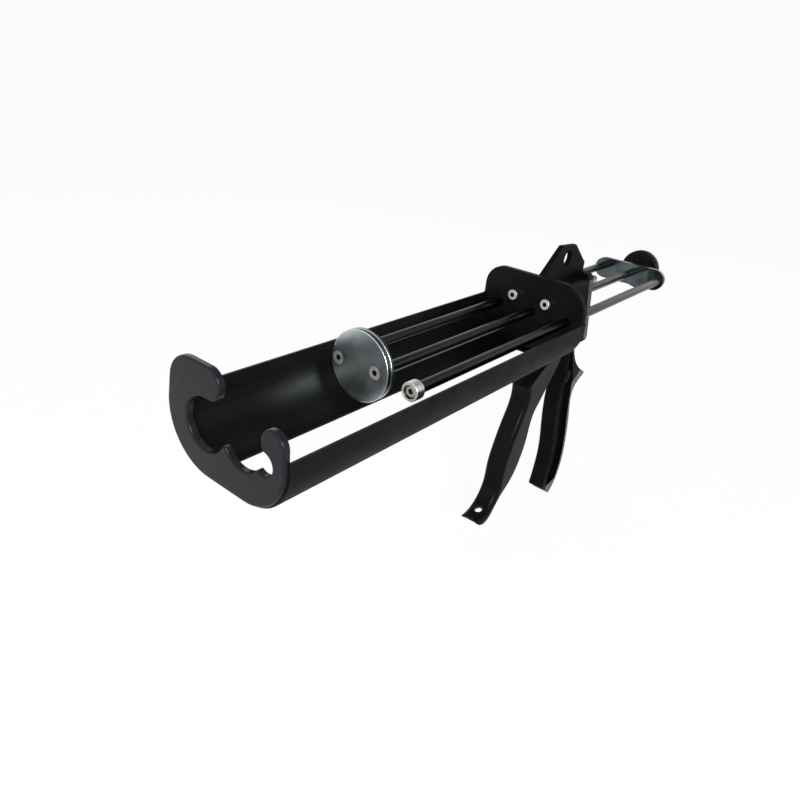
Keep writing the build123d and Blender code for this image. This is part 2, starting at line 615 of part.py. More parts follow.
def make_thrust_pin():
    """Hard pin across the trigger's head that pushes the drive plates."""
    return pin_along_y(THRUST_PIN_DIAMETER / 2, TRIGGER_WIDTH, THRUST_X, THRUST_Z)


def make_drive_plate(start):
    """Gripping plate round the drive rod with a tongue between the trigger's cheeks."""
    plate = block(
        -DRIVE_PLATE_HALF_WIDTH, DRIVE_PLATE_HALF_WIDTH, DRIVE_PLATE_SHOULDER, DRIVE_PLATE_TOP
    )
    plate = fillet(plate.vertices(), DRIVE_PLATE_THICKNESS / 3)
    plate += block(
        -DRIVE_TONGUE_HALF_WIDTH, DRIVE_TONGUE_HALF_WIDTH, DRIVE_TONGUE_BOTTOM, DRIVE_PLATE_TOP / 2
    )
    plate -= Circle(ROD_RADIUS + DRIVE_PLATE_GAP)
    return across(plate, start, DRIVE_PLATE_THICKNESS)


def coil_points(radius, length, turns, count):
    """Points and directions along a helix on the X axis, count of them to a turn."""
    pitch = length / turns
    rows = []
    for step in range(turns * count + 1):
        angle = 2 * math.pi * step / count
        place = Vector(pitch * step / count, radius * math.cos(angle), radius * math.sin(angle))
        run = Vector(pitch / (2 * math.pi), -radius * math.sin(angle), radius * math.cos(angle))
        rows.append((place, run.normalized()))
    return rows


def biarc(start, end):
    """Two arcs that join one place and direction to another."""
    (here, run_here), (there, run_there) = start, end
    gap = there - here
    along = gap.dot(run_here + run_there)
    spread = 2 * (1 - run_here.dot(run_there))
    arm = (math.sqrt(along**2 + spread * gap.dot(gap)) - along) / spread
    corner_here = here + run_here * arm
    corner_there = there - run_there * arm
    middle = (corner_here + corner_there) * 0.5
    run_middle = (corner_there - corner_here).normalized()
    return [
        Edge.make_tangent_arc(here, run_here, middle),
        Edge.make_tangent_arc(middle, run_middle, there),
    ]


def make_spring(name, start, end, radius, wire, turns):
    """One unbroken coil between two seats, swept along biarcs of a quarter turn."""
    length = end - start - wire
    rows = coil_points(radius, length, turns, 4)
    edges = [edge for pair in zip(rows, rows[1:]) for edge in biarc(*pair)]
    section = Plane(rows[0][0], z_dir=rows[0][1]) * Circle(wire / 2)
    coil = sweep(section, path=Wire(edges))
    samples = [place for place, _ in coil_points(radius, length, turns, 24)]
    least = min(
        (near - far).length
        for index, near in enumerate(samples)
        for far in samples[index + 12:]
    )
    print(name, "least gap between turns", round(least - wire, 2), "mm")
    return Pos(start + wire / 2, 0, 0) * coil


def make_release_plate():
    """Brake plate that hangs on its pin, with a bent thumb tab at its foot."""
    top = RELEASE_PIN_Z
    half = RELEASE_PLATE_THICKNESS / 2
    bend = RELEASE_BEND_RADIUS
    rear = RELEASE_PIN_X + half
    low = RELEASE_PLATE_BOTTOM
    leg = Pos(RELEASE_PIN_X, (top + low) / 2) * Rectangle(2 * half, top - low)
    tab_length = RELEASE_TAB_LENGTH + 2 * half
    tab = Pos(RELEASE_FRONT + tab_length / 2, low + half) * Rectangle(tab_length, 2 * half)
    web = Pos(rear + bend / 2, low + 2 * half + bend / 2) * Rectangle(bend, bend)
    web -= Pos(rear + bend, low + 2 * half + bend) * Circle(bend)
    side = leg + tab + web + Pos(RELEASE_PIN_X, top) * Circle(RELEASE_KNUCKLE_RADIUS)
    side -= Pos(RELEASE_PIN_X, top) * Circle(RELEASE_PIN_DIAMETER / 2 + PIVOT_RUNNING_GAP)
    plate = sideways(side, RELEASE_PLATE_WIDTH / 2)
    reach = 4 * RELEASE_KNUCKLE_RADIUS
    return plate - rod_along_x(ROD_RADIUS + RELEASE_ROD_GAP, RELEASE_PIN_X - reach, 2 * reach)


def make_release_pin():
    """Pin through the lugs and the release plate's knuckle."""
    length = RELEASE_PLATE_WIDTH + 2 * (RELEASE_LUG_GAP + RELEASE_LUG_THICKNESS)
    return pin_along_y(RELEASE_PIN_DIAMETER / 2, length, RELEASE_PIN_X, RELEASE_PIN_Z)


def make_large_rod():
    """Outer rod of the large plunger, drilled at both ends for its screws."""
    rod = rod_along_x(ROD_RADIUS, LARGE_ROD_FRONT, BRIDGE_X - LARGE_ROD_FRONT, ROD_SPACING)
    depth = PLUNGER_SCREW_LENGTH - PLUNGER_STACK
    rod -= rod_along_x(PLUNGER_SCREW_DIAMETER / 2, LARGE_ROD_FRONT, depth, ROD_SPACING)
    depth = BRIDGE_SCREW_LENGTH - BRIDGE_THICKNESS
    return rod - rod_along_x(PLUNGER_SCREW_DIAMETER / 2, BRIDGE_X - depth, depth, ROD_SPACING)


def make_drive_rod():
    """Middle rod: through the housing and the bridge into the pull knob."""
    end = KNOB_X - KNOB_HUB_LENGTH + KNOB_BORE_DEPTH
    rod = rod_along_x(ROD_RADIUS, LARGE_ROD_FRONT, end - LARGE_ROD_FRONT)
    depth = PLUNGER_SCREW_LENGTH - PLUNGER_STACK
    return rod - rod_along_x(PLUNGER_SCREW_DIAMETER / 2, LARGE_ROD_FRONT, depth)


def make_small_rod():
    """Rod of the small plunger, drilled at both ends for its screws."""
    rod = rod_along_x(ROD_RADIUS, SMALL_ROD_FRONT, BRIDGE_X - SMALL_ROD_FRONT, -ROD_SPACING)
    web = SMALL_PLUNGER_LENGTH - SMALL_PLUNGER_CUP_DEPTH
    depth = SMALL_SCREW_LENGTH - web
    rod -= rod_along_x(PLUNGER_SCREW_DIAMETER / 2, SMALL_ROD_FRONT, depth, -ROD_SPACING)
    depth = BRIDGE_SCREW_LENGTH - BRIDGE_THICKNESS
    return rod - rod_along_x(PLUNGER_SCREW_DIAMETER / 2, BRIDGE_X - depth, depth, -ROD_SPACING)


def screw_cone():
    """Flat-topped countersunk head from the plunger's face down to the screw's shank."""
    drop = (PLUNGER_SCREW_HEAD - PLUNGER_SCREW_DIAMETER) / 2
    foot = (Align.CENTER, Align.CENTER, Align.MIN)
    cone = Cone(PLUNGER_SCREW_HEAD / 2, PLUNGER_SCREW_DIAMETER / 2, drop, align=foot)
    return Plane.YZ * cone


def make_plunger_disc(start, thickness, diameter):
    """One disc of the large plunger's stack, drilled for the two rod screws."""
    disc = rod_along_x(diameter / 2, start, thickness, PLUNGER_Y)
    disc = fillet(disc.edges(), PLUNGER_EDGE_RADIUS)
    for y in (ROD_SPACING, 0):
        disc -= Pos(PLUNGER_X, y, 0) * screw_cone()
        disc -= rod_along_x(PLUNGER_SCREW_DIAMETER / 2, start, thickness, y)
    return disc


def make_plunger_screws():
    """Countersunk socket screws that hold the disc stack to its two rods."""
    screw = screw_cone() + rod_along_x(PLUNGER_SCREW_DIAMETER / 2, 0, PLUNGER_SCREW_LENGTH)
    screw -= across(RegularPolygon(HEX_SOCKET / 2, 6, major_radius=False), 0, HEX_SOCKET / 2)
    return Compound(children=[Pos(PLUNGER_X, y, 0) * screw for y in (ROD_SPACING, 0)])


def make_small_plunger():
    """Short cup-faced plunger on the end of the small rod."""
    radius = SMALL_PLUNGER_DIAMETER / 2
    cup = rod_along_x(radius, SMALL_PLUNGER_FRONT, SMALL_PLUNGER_LENGTH, -ROD_SPACING)
    cup = fillet(cup.edges(), PLUNGER_EDGE_RADIUS)
    cup -= rod_along_x(
        SMALL_PLUNGER_CUP / 2, SMALL_PLUNGER_FRONT, SMALL_PLUNGER_CUP_DEPTH, -ROD_SPACING
    )
    return cup - rod_along_x(
        PLUNGER_SCREW_DIAMETER / 2, SMALL_PLUNGER_FRONT, SMALL_PLUNGER_LENGTH, -ROD_SPACING
    )


def make_small_screw():
    """Socket screw seated in the small plunger's cup."""
    head = SMALL_PLUNGER_CUP - 2 * PLUNGER_EDGE_RADIUS
    screw = socket_screw(head, SMALL_SCREW_HEAD_HEIGHT, PLUNGER_SCREW_DIAMETER, SMALL_SCREW_LENGTH)
    return Pos(SMALL_PLUNGER_FRONT + SMALL_PLUNGER_CUP_DEPTH, -ROD_SPACING, 0) * screw


def make_bridge():
    """Round-ended bar that joins the three rods at the back."""
    bar = SlotOverall(BRIDGE_LENGTH, BRIDGE_HEIGHT)
    bar -= Circle(ROD_RADIUS)
    for y in (ROD_SPACING, -ROD_SPACING):
        bar -= Pos(y, 0) * Circle(PLUNGER_SCREW_DIAMETER / 2)
    return across(bar, BRIDGE_X, BRIDGE_THICKNESS)


def make_bridge_screws():
    """Button-head screws from behind into the two outer rods."""
    back = BRIDGE_X + BRIDGE_THICKNESS
    screws = []
    for y in (ROD_SPACING, -ROD_SPACING):
        head = rod_along_x(BRIDGE_SCREW_HEAD / 2, back, BRIDGE_SCREW_HEAD_HEIGHT, y)
        head = fillet(head.faces().sort_by(Axis.X)[-1].edges(), BRIDGE_SCREW_HEAD_HEIGHT / 2)
        shank = back - BRIDGE_SCREW_LENGTH
        screws.append(head + rod_along_x(PLUNGER_SCREW_DIAMETER / 2, shank, BRIDGE_SCREW_LENGTH, y))
    return Compound(children=screws)


def make_lock_nut():
    """Hexagon nut that clamps the bridge on the drive rod."""
    nut = RegularPolygon(LOCK_NUT_FLATS / 2, 6, major_radius=False) - Circle(ROD_RADIUS)
    return across(nut, BRIDGE_X + BRIDGE_THICKNESS, LOCK_NUT_HEIGHT)


def make_knob():
    """Round pull knob with a hub, a straight rim and a low crown."""
    radius = KNOB_DIAMETER / 2
    hub = KNOB_HUB_DIAMETER / 2
    start = KNOB_X - KNOB_HUB_LENGTH
    rim = KNOB_X + KNOB_RIM
    crown = rim + KNOB_CROWN
    ball = (radius**2 + KNOB_CROWN**2) / (2 * KNOB_CROWN)
    lean = math.asin(radius / ball) / 2
    middle = (crown - ball + ball * math.cos(lean), ball * math.sin(lean))
    half = make_face(
        [
            Polyline((start, 0), (start, hub), (KNOB_X, hub), (KNOB_X, radius), (rim, radius)),
            ThreePointArc((rim, radius), middle, (crown, 0)),
            Line((crown, 0), (start, 0)),
        ]
    )
    knob = revolve(half, Axis.X)
    front = knob.edges().filter_by(GeomType.CIRCLE)
    rim_edge = [e for e in front if abs(e.radius - radius) < 0.01 and abs(e.center().X - KNOB_X) < 0.01]
    knob = fillet(rim_edge, KNOB_EDGE_RADIUS)
    return knob - rod_along_x(ROD_RADIUS, start, KNOB_BORE_DEPTH)


def build():
    """Makes every piece, by name."""
    seal_x = PLUNGER_X + PLUNGER_FACE_THICKNESS
    back_x = seal_x + PLUNGER_SEAL_THICKNESS
    seal_diameter = PLUNGER_DIAMETER - 2 * PLUNGER_SEAL_INSET
    return {
        "cradle": make_cradle(),
        "front_plate": make_front_plate(),
        "rear_plate": make_rear_plate(),
        "body_casting": make_casting(),
        "plate_screws": make_plate_screws(),
        "plate_rivets": make_rivets(),
        "trigger_pivot_pin": make_pivot_pin(),
        "pivot_circlips": make_circlips(),
        "trigger_stop_pin": make_stop_pin(),
        "release_pin": make_release_pin(),
        "trigger": make_trigger(),
        "thrust_pin": make_thrust_pin(),
        "drive_plate_front": make_drive_plate(DRIVE_FRONT),
        "drive_plate_rear": make_drive_plate(DRIVE_FRONT + DRIVE_PLATE_THICKNESS),
        "drive_spring": make_spring(
            "drive_spring",
            CAVITY_FRONT + SPRING_SEAT_GAP,
            DRIVE_FRONT - SPRING_SEAT_GAP,
            DRIVE_SPRING_RADIUS,
            DRIVE_SPRING_WIRE,
            DRIVE_SPRING_TURNS,
        ),
        "release_plate": make_release_plate(),
        "release_spring": make_spring(
            "release_spring",
            FLANGE_REAR - RELEASE_SPRING_POCKET_DEPTH + SPRING_SEAT_GAP,
            RELEASE_FRONT - SPRING_SEAT_GAP,
            RELEASE_SPRING_RADIUS,
            RELEASE_SPRING_WIRE,
            RELEASE_SPRING_TURNS,
        ),
        "large_rod": make_large_rod(),
        "drive_rod": make_drive_rod(),
        "small_rod": make_small_rod(),
        "plunger_face": make_plunger_disc(PLUNGER_X, PLUNGER_FACE_THICKNESS, PLUNGER_DIAMETER),
        "plunger_seal": make_plunger_disc(seal_x, PLUNGER_SEAL_THICKNESS, seal_diameter),
        "plunger_back": make_plunger_disc(back_x, PLUNGER_BACK_THICKNESS, PLUNGER_DIAMETER),
        "plunger_screws": make_plunger_screws(),
        "small_plunger": make_small_plunger(),
        "small_plunger_screw": make_small_screw(),
        "rear_bridge": make_bridge(),
        "bridge_screws": make_bridge_screws(),
        "bridge_lock_nut": make_lock_nut(),
        "pull_knob": make_knob(),
    }


os.makedirs("parts", exist_ok=True)
for piece_name, piece in build().items():
    save(piece, piece_name)
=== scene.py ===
import json
import math

import bpy
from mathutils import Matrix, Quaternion, Vector


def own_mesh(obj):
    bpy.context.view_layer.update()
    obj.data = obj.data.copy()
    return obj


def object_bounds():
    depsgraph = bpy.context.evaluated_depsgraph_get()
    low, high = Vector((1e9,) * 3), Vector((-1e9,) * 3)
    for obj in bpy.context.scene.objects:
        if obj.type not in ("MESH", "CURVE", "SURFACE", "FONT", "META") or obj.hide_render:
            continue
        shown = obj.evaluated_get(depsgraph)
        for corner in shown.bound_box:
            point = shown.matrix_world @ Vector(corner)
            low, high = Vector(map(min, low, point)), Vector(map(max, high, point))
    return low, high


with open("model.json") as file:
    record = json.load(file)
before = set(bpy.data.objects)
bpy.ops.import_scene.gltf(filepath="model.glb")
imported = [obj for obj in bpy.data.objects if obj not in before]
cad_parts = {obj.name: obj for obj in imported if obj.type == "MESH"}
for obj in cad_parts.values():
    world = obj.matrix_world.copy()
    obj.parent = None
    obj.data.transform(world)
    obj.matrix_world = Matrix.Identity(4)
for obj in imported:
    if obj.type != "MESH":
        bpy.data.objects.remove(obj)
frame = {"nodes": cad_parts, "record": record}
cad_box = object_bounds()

# Camera: metres in the part's own frame, its roll, and millimetres of lens
CAMERA_PLACE = Vector((-0.4443, -0.2030, 0.1115))
CAMERA_AIM = Vector((-0.1228, 0.0400, -0.0887))
CAMERA_ROLL = math.radians(6.06)
CAMERA_LENS = 30.32
CAMERA_SENSOR = 36.0
CAMERA_CLIP = 0.01

# Studio: a round pale sweep under and around the part, open at the top
SWEEP_FLAT_RADIUS = 1.5
SWEEP_CURVE_RADIUS = 0.8
SWEEP_WALL = 1.1
SWEEP_SEGMENTS = 96
SWEEP_ARC_STEPS = 16
SWEEP_COLOUR = (0.9, 0.9, 0.9, 1.0)
SWEEP_LIFT = 0.93
WORLD_COLOUR = (0.93, 0.96, 1.0, 1.0)
WORLD_STRENGTH = 0.22

# Lamps: name, direction from the part's middle, distance, width, watts
LAMPS = [
    ("key", (-0.765, -0.664, 0.456), 1.11, 0.26, 14.0),
    ("overhead", (-0.10, 0.10, 1.0), 1.5, 1.5, 9.0),
    ("nozzle_side", (-0.90, 0.40, 0.25), 1.2, 0.7, 1.2),
    ("far_side", (0.35, 0.90, 0.50), 1.3, 0.8, 2.0),
    ("grip_side", (1.0, -0.10, 0.20), 1.3, 0.5, 1.3),
]

# Painted highlight: a lighter shade standing in for reflected light on the casting's side faces, in metres:
# on the flange above one height, on the grip behind one place and under a slanted line across the horn
FLANGE_HIGHLIGHT_X = 0.0225
FLANGE_HIGHLIGHT_Z = -0.0685
GRIP_HIGHLIGHT_X = 0.041
HORN_HIGHLIGHT_SLOPE = 0.725
HORN_HIGHLIGHT_RISE = -0.1425
SIDE_HIGHLIGHT_Y = 0.0055
SIDE_HIGHLIGHT_BLEND = 0.0004
SIDE_HIGHLIGHT_SQUARE = (0.985, 0.998)

# Outside of the small cartridge's side: where it starts along Y, and how far its faces turn that way
NEAR_SIDE = (0.001, -0.001)
NEAR_TURN = (-0.05, -0.25)

# Steel pieces that were painted together with the casting
PAINTED_OVER = {"trigger_stop_pin": "cast_paint"}

# Edge angle above which two faces meet in a crisp line
CRISP_ANGLE = math.radians(32)

# Ranges that values are carried between: a whole share, and the stretch that holds most of a noise
WHOLE = (0.0, 1.0)
NOISE_BODY = (0.3, 0.7)

# Places of the two colours and of the result among a mix node's sockets
MIX_FIRST = 6
MIX_SECOND = 7
MIX_RESULT = 2

# Worn corners and the shade painted into sockets: rays for each, the bend that counts as a corner, and the
# noise that breaks it up
EDGE_SAMPLES = 6
HOLLOW_SAMPLES = 8
EDGE_BEND = (0.99, 0.80)
EDGE_BREAK = (0.42, 0.62)

# Paint: marks and relief in metres
PAINT_CLOUD = 0.045
PAINT_CLOUD_RANGE = (0.35, 0.65)
PAINT_PATCH = 0.012
PAINT_SWING = (-0.05, 0.06)
PAINT_RUBBED = 2.6
PAINT_CORNER = 0.0006
PAINT_CORNER_BREAK = 0.006
SLIDE_MARK = 0.0016
SLIDE_STRETCH = (60, 1, 1)
SLIDE_RANGE = (0.62, 0.78)
# Noise that breaks up the painted highlight on the casting's side faces, and the share it spans
HIGHLIGHT_BREAKUP = 0.003
HIGHLIGHT_SHARE = (0.55, 1.0)
GRAIN_DEPTH = 0.00002
PEEL_PER_GRAIN = 6
PEEL_DEPTH = 0.00004

# Drawn bar: lines along it and stains in metres
DRAWN_LINE = 0.0007
DRAWN_STRETCH = (80, 1, 1)
DRAWN_DEPTH = 0.00001
OIL_STAIN = 0.02
OIL_STRETCH = (3, 1, 1)
OIL_RANGE = (0.5, 0.72)
OIL_SHARE = 0.6
OIL_TINT = (0.95, 0.9, 0.75)
STEEL_SWING = (-0.06, 0.08)

# Zinc plating: clouds, tints, scratches and waves in metres
ZINC_CLOUD = 0.015
ZINC_CLOUD_RANGE = (0.32, 0.68)
ZINC_PATCH = 0.008
ZINC_SWING = (-0.04, 0.05)
ZINC_WAVE = 0.018
STRAW_PATCH = 0.025
STRAW_RANGE = (0.52, 0.75)
STRAW_SHARE = 0.55
STRAW_TINT = (1.05, 0.99, 0.86)
SCRATCH = 0.0005
SCRATCH_STRETCH = (1, 30, 1)
SCRATCH_RANGE = (0.66, 0.8)
SCRATCH_SHARE = 0.35
SCRATCH_DEPTH = 0.000008

# Turned and milled steel: tooling marks, clouds, and shade painted into sockets, in metres
TOOLING_LINE = 0.0004
TOOLING_STRETCH = (6, 1, 1)
TOOLING_DEPTH = 0.00001
STEEL_CLOUD = 0.004
STEEL_CLOUD_RANGE = (0.35, 0.65)
STEEL_RUBBED = 1.5
STEEL_CORNER = 0.0003
STEEL_CORNER_BREAK = 0.002
SOCKET_SHADE_SHARE = 0.01
SOCKET_SHADE_REACH = 0.0025
SOCKET_SHADE_RANGE = (0.6, 0.92)

# How much of a face's normal lies along X, from a side to an end
ZINC_END_TURN = (0.25, 0.6)
STEEL_END_TURN = (0.5, 0.95)

# Mouldings: bloom and relief in metres
BLOOM = 0.006
BLOOM_RANGE = (0.4, 0.75)
MOULDED_SWING = (-0.07, 0.07)
MOULDED_DEPTH = 0.00005


class Finish:
    """One procedural material: a Principled shader fed by textures measured in metres on the part."""

    def __init__(self, name, metallic=0.0, specular=0.5):
        self.material = bpy.data.materials.new(name)
        self.material.use_nodes = True
        self.nodes = self.material.node_tree.nodes
        self.links = self.material.node_tree.links
        self.shader = self.nodes["Principled BSDF"]
        self.shader.inputs["Metallic"].default_value = metallic
        self.shader.inputs["Specular IOR Level"].default_value = specular
        where = self.nodes.new("ShaderNodeTexCoord")
        self.place = where.outputs["Object"]
        self.facing = where.outputs["Normal"]

    def noise(self, size, detail=3, stretch=(1, 1, 1)):
        """Noise whose blotches are about `size` metres, longer along an axis by its stretch."""
        mapping = self.nodes.new("ShaderNodeMapping")
        mapping.inputs["Scale"].default_value = [1 / (size * along) for along in stretch]
        self.links.new(self.place, mapping.inputs["Vector"])
        texture = self.nodes.new("ShaderNodeTexNoise")
        texture.inputs["Scale"].default_value = 1.0
        texture.inputs["Detail"].default_value = detail
        self.links.new(mapping.outputs["Vector"], texture.inputs["Vector"])
        return texture.outputs["Fac"]

    def along(self, vector, axis):
        """One number of a vector, by its axis letter."""
        node = self.nodes.new("ShaderNodeSeparateXYZ")
        self.links.new(vector, node.inputs["Vector"])
        return node.outputs[axis]

    def unsigned(self, value):
        """Value without its sign."""
        node = self.nodes.new("ShaderNodeMath")
        node.operation = "ABSOLUTE"
        self.links.new(value, node.inputs[0])
        return node.outputs["Value"]

    def span(self, value, source, target=WHOLE):
        """Value carried from one range to another and held inside it."""
        node = self.nodes.new("ShaderNodeMapRange")
        node.inputs["From Min"].default_value = source[0]
        node.inputs["From Max"].default_value = source[1]
        node.inputs["To Min"].default_value = target[0]
        node.inputs["To Max"].default_value = target[1]
        self.links.new(value, node.inputs["Value"])
        return node.outputs["Result"]

    def sheen(self, texture, gloss, swing):
        """Roughness that swings about `gloss` with a texture."""
        return self.span(texture, NOISE_BODY, (gloss + swing[0], gloss + swing[1]))

    def pair(self, operation, first, second):
        """Two values joined by one of the maths node's operations."""
        node = self.nodes.new("ShaderNodeMath")
        node.operation = operation
        self.links.new(first, node.inputs[0])
        self.links.new(second, node.inputs[1])
        return node.outputs["Value"]

    def times(self, first, second):
        """Product of two values."""
        return self.pair("MULTIPLY", first, second)

    def mix(self, factor, first, second):
        """Colour between two, each a socket or three numbers."""
        node = self.nodes.new("ShaderNodeMix")
        node.data_type = "RGBA"
        self.links.new(factor, node.inputs["Factor"])
        for colour, place in ((first, MIX_FIRST), (second, MIX_SECOND)):
            if isinstance(colour, tuple):
                node.inputs[place].default_value = (*colour, 1.0)
            else:
                self.links.new(colour, node.inputs[place])
        return node.outputs[MIX_RESULT]

    def edges(self, radius, breakup):
        """Mask of the worn corners, broken up by a noise of that size."""
        bevel = self.nodes.new("ShaderNodeBevel")
        bevel.samples = EDGE_SAMPLES
        bevel.inputs["Radius"].default_value = radius
        surface = self.nodes.new("ShaderNodeNewGeometry")
        turn = self.nodes.new("ShaderNodeVectorMath")
        turn.operation = "DOT_PRODUCT"
        self.links.new(bevel.outputs["Normal"], turn.inputs[0])
        self.links.new(surface.outputs["Normal"], turn.inputs[1])
        corner = self.span(turn.outputs["Value"], EDGE_BEND)
        return self.times(corner, self.span(self.noise(breakup), EDGE_BREAK))

    def hollows(self, reach):
        """How open the surface is within `reach` metres: 1 on the outside, less in sockets."""
        node = self.nodes.new("ShaderNodeAmbientOcclusion")
        node.samples = HOLLOW_SAMPLES
        node.inputs["Distance"].default_value = reach
        return node.outputs["AO"]

    def turned_to(self, axis, turn, target=WHOLE):
        """Mask of the faces that look along an axis, either way, by a range of the normal's share of it."""
        return self.span(self.unsigned(self.along(self.facing, axis)), turn, target)

    def past(self, value, edge):
        """Mask of where a value is over an edge of the painted highlight on the side faces."""
        return self.span(value, (edge, edge + SIDE_HIGHLIGHT_BLEND))

    def side_highlight_mask(self):
        """Mask of the casting's side faces that get a painted highlight: flange edges, the horn's low band
        and the rear rim.
        """
        x = self.along(self.place, "X")
        z = self.along(self.place, "Z")
        flange = self.times(self.past(z, FLANGE_HIGHLIGHT_Z), self.past(x, FLANGE_HIGHLIGHT_X))
        rise = self.pair("SUBTRACT", z, self.span(x, WHOLE, (0.0, HORN_HIGHLIGHT_SLOPE)))
        under = self.span(rise, (HORN_HIGHLIGHT_RISE, HORN_HIGHLIGHT_RISE - SIDE_HIGHLIGHT_BLEND))
        rim = self.times(under, self.past(x, GRIP_HIGHLIGHT_X))
        outside = self.past(self.unsigned(self.along(self.place, "Y")), SIDE_HIGHLIGHT_Y)
        square = self.turned_to("Y", SIDE_HIGHLIGHT_SQUARE)
        return self.times(self.times(square, outside), self.pair("MAXIMUM", flange, rim))

    def near_outside(self):
        """Mask of the faces that look outwards on the small cartridge's side."""
        near = self.span(self.along(self.place, "Y"), NEAR_SIDE)
        return self.times(near, self.span(self.along(self.facing, "Y"), NEAR_TURN))

    def colour(self, value):
        """Gives the shader its colour."""
        self.links.new(value, self.shader.inputs["Base Color"])

    def roughness(self, value):
        """Gives the shader its roughness."""
        self.links.new(value, self.shader.inputs["Roughness"])

    def bump(self, *layers):
        """Relief from (height, depth in metres) layers, one on top of the other."""
        normal = None
        for height, depth in layers:
            node = self.nodes.new("ShaderNodeBump")
            node.inputs["Distance"].default_value = depth
            self.links.new(height, node.inputs["Height"])
            if normal is not None:
                self.links.new(normal, node.inputs["Normal"])
            normal = node.outputs["Normal"]
        self.links.new(normal, self.shader.inputs["Normal"])


def grey(level):
    """Colour with the same red, green and blue."""
    return (level, level, level)


def scaled(colour, share):
    """Colour made lighter or darker, and no lighter than white."""
    return tuple(min(1.0, share * part) for part in colour)


def tinted(colour, tint):
    """Colour with each of its numbers times the tint's."""
    return tuple(part * share for part, share in zip(colour, tint))


def powder_coat(name, deep, pale, gloss, specular, grain, scuff=None, matt=None, side_highlight=None):
    """Powder coat: orange-peel grain and rubbed corners, with sliding marks, a matt side or a painted
    highlight on side faces.
    """
    finish = Finish(name, specular=specular)
    cloud = finish.noise(PAINT_CLOUD, detail=4)
    shade = finish.mix(finish.span(cloud, PAINT_CLOUD_RANGE), deep, pale)
    rubbed = scaled(pale, PAINT_RUBBED)
    if scuff is not None:
        slide = finish.noise(SLIDE_MARK, detail=2, stretch=SLIDE_STRETCH)
        shade = finish.mix(finish.span(slide, SLIDE_RANGE, (0.0, scuff)), shade, rubbed)
    shade = finish.mix(finish.edges(PAINT_CORNER, PAINT_CORNER_BREAK), shade, rubbed)
    if side_highlight is not None:
        # Painted highlight: a lighter shade on the casting's side faces stands in for reflected light, broken
        # up by noise
        highlight_breakup = finish.span(finish.noise(HIGHLIGHT_BREAKUP, detail=4), NOISE_BODY, HIGHLIGHT_SHARE)
        shade = finish.mix(finish.times(finish.side_highlight_mask(), highlight_breakup), shade, side_highlight)
    finish.colour(shade)
    satin = finish.sheen(finish.noise(PAINT_PATCH, detail=5), gloss, PAINT_SWING)
    if matt is not None:
        satin = finish.pair("ADD", satin, finish.span(finish.near_outside(), WHOLE, (0.0, matt)))
    finish.roughness(satin)
    peel = finish.noise(PEEL_PER_GRAIN * grain, detail=1)
    finish.bump((finish.noise(grain, detail=2), GRAIN_DEPTH), (peel, PEEL_DEPTH))
    return finish.material


def drawn_steel(name, deep, pale, gloss):
    """Drawn bar: fine lines along the rod and thin oil stains."""
    finish = Finish(name, metallic=1.0)
    lines = finish.noise(DRAWN_LINE, stretch=DRAWN_STRETCH)
    stains = finish.noise(OIL_STAIN, detail=4, stretch=OIL_STRETCH)
    shade = finish.mix(finish.span(lines, NOISE_BODY), deep, pale)
    stained = tinted(deep, OIL_TINT)
    finish.colour(finish.mix(finish.span(stains, OIL_RANGE, (0.0, OIL_SHARE)), shade, stained))
    finish.roughness(finish.sheen(lines, gloss, STEEL_SWING))
    finish.bump((lines, DRAWN_DEPTH))
    return finish.material


def zinc_plating(name, deep, pale, gloss, wave, side_shade=1.0):
    """Zinc plating: soft clouds, straw tints, fine handling scratches, waves, and a painted shade on the side
    faces.
    """
    finish = Finish(name, metallic=1.0)
    cloud = finish.noise(ZINC_CLOUD, detail=4)
    shade = finish.mix(finish.span(cloud, ZINC_CLOUD_RANGE), deep, pale)
    tint = finish.noise(STRAW_PATCH, detail=2)
    straw = tinted(pale, STRAW_TINT)
    shade = finish.mix(finish.span(tint, STRAW_RANGE, (0.0, STRAW_SHARE)), shade, straw)
    scratch = finish.noise(SCRATCH, detail=2, stretch=SCRATCH_STRETCH)
    shade = finish.mix(finish.span(scratch, SCRATCH_RANGE, (0.0, SCRATCH_SHARE)), shade, deep)
    # Painted shade: faces that turn away from X take a darker colour
    shaded_sides = scaled(deep, side_shade)
    finish.colour(finish.mix(finish.turned_to("X", ZINC_END_TURN), shaded_sides, shade))
    finish.roughness(finish.sheen(finish.noise(ZINC_PATCH, detail=5), gloss, ZINC_SWING))
    finish.bump((scratch, SCRATCH_DEPTH), (finish.noise(ZINC_WAVE, detail=2), wave))
    return finish.material


def machined_steel(name, deep, pale, gloss, ends=None):
    """Turned and milled small parts: fine tooling marks, duller ends, shade painted into hollows and rubbed
    corners.
    """
    finish = Finish(name, metallic=1.0)
    tooling = finish.noise(TOOLING_LINE, detail=2, stretch=TOOLING_STRETCH)
    cloud = finish.noise(STEEL_CLOUD, detail=4)
    shade = finish.mix(finish.span(cloud, STEEL_CLOUD_RANGE), deep, pale)
    rubbed = scaled(pale, STEEL_RUBBED)
    shade = finish.mix(finish.edges(STEEL_CORNER, STEEL_CORNER_BREAK), shade, rubbed)
    # Painted shade: hollows and sockets get a darker colour the less they open out
    socket_shade = scaled(deep, SOCKET_SHADE_SHARE)
    finish.colour(finish.mix(finish.span(finish.hollows(SOCKET_SHADE_REACH), SOCKET_SHADE_RANGE), socket_shade, shade))
    turned = finish.sheen(tooling, gloss, STEEL_SWING)
    if ends is not None:
        turned = finish.pair("ADD", turned, finish.turned_to("X", STEEL_END_TURN, (0.0, ends)))
    finish.roughness(turned)
    finish.bump((tooling, TOOLING_DEPTH))
    return finish.material


def moulded(name, deep, pale, gloss, specular, grain):
    """Moulded rubber or plastic: spark-eroded grain and a faint bloom."""
    finish = Finish(name, specular=specular)
    bloom = finish.noise(BLOOM, detail=5)
    finish.colour(finish.mix(finish.span(bloom, BLOOM_RANGE), deep, pale))
    finish.roughness(finish.sheen(bloom, gloss, MOULDED_SWING))
    finish.bump((finish.noise(grain), MOULDED_DEPTH))
    return finish.material


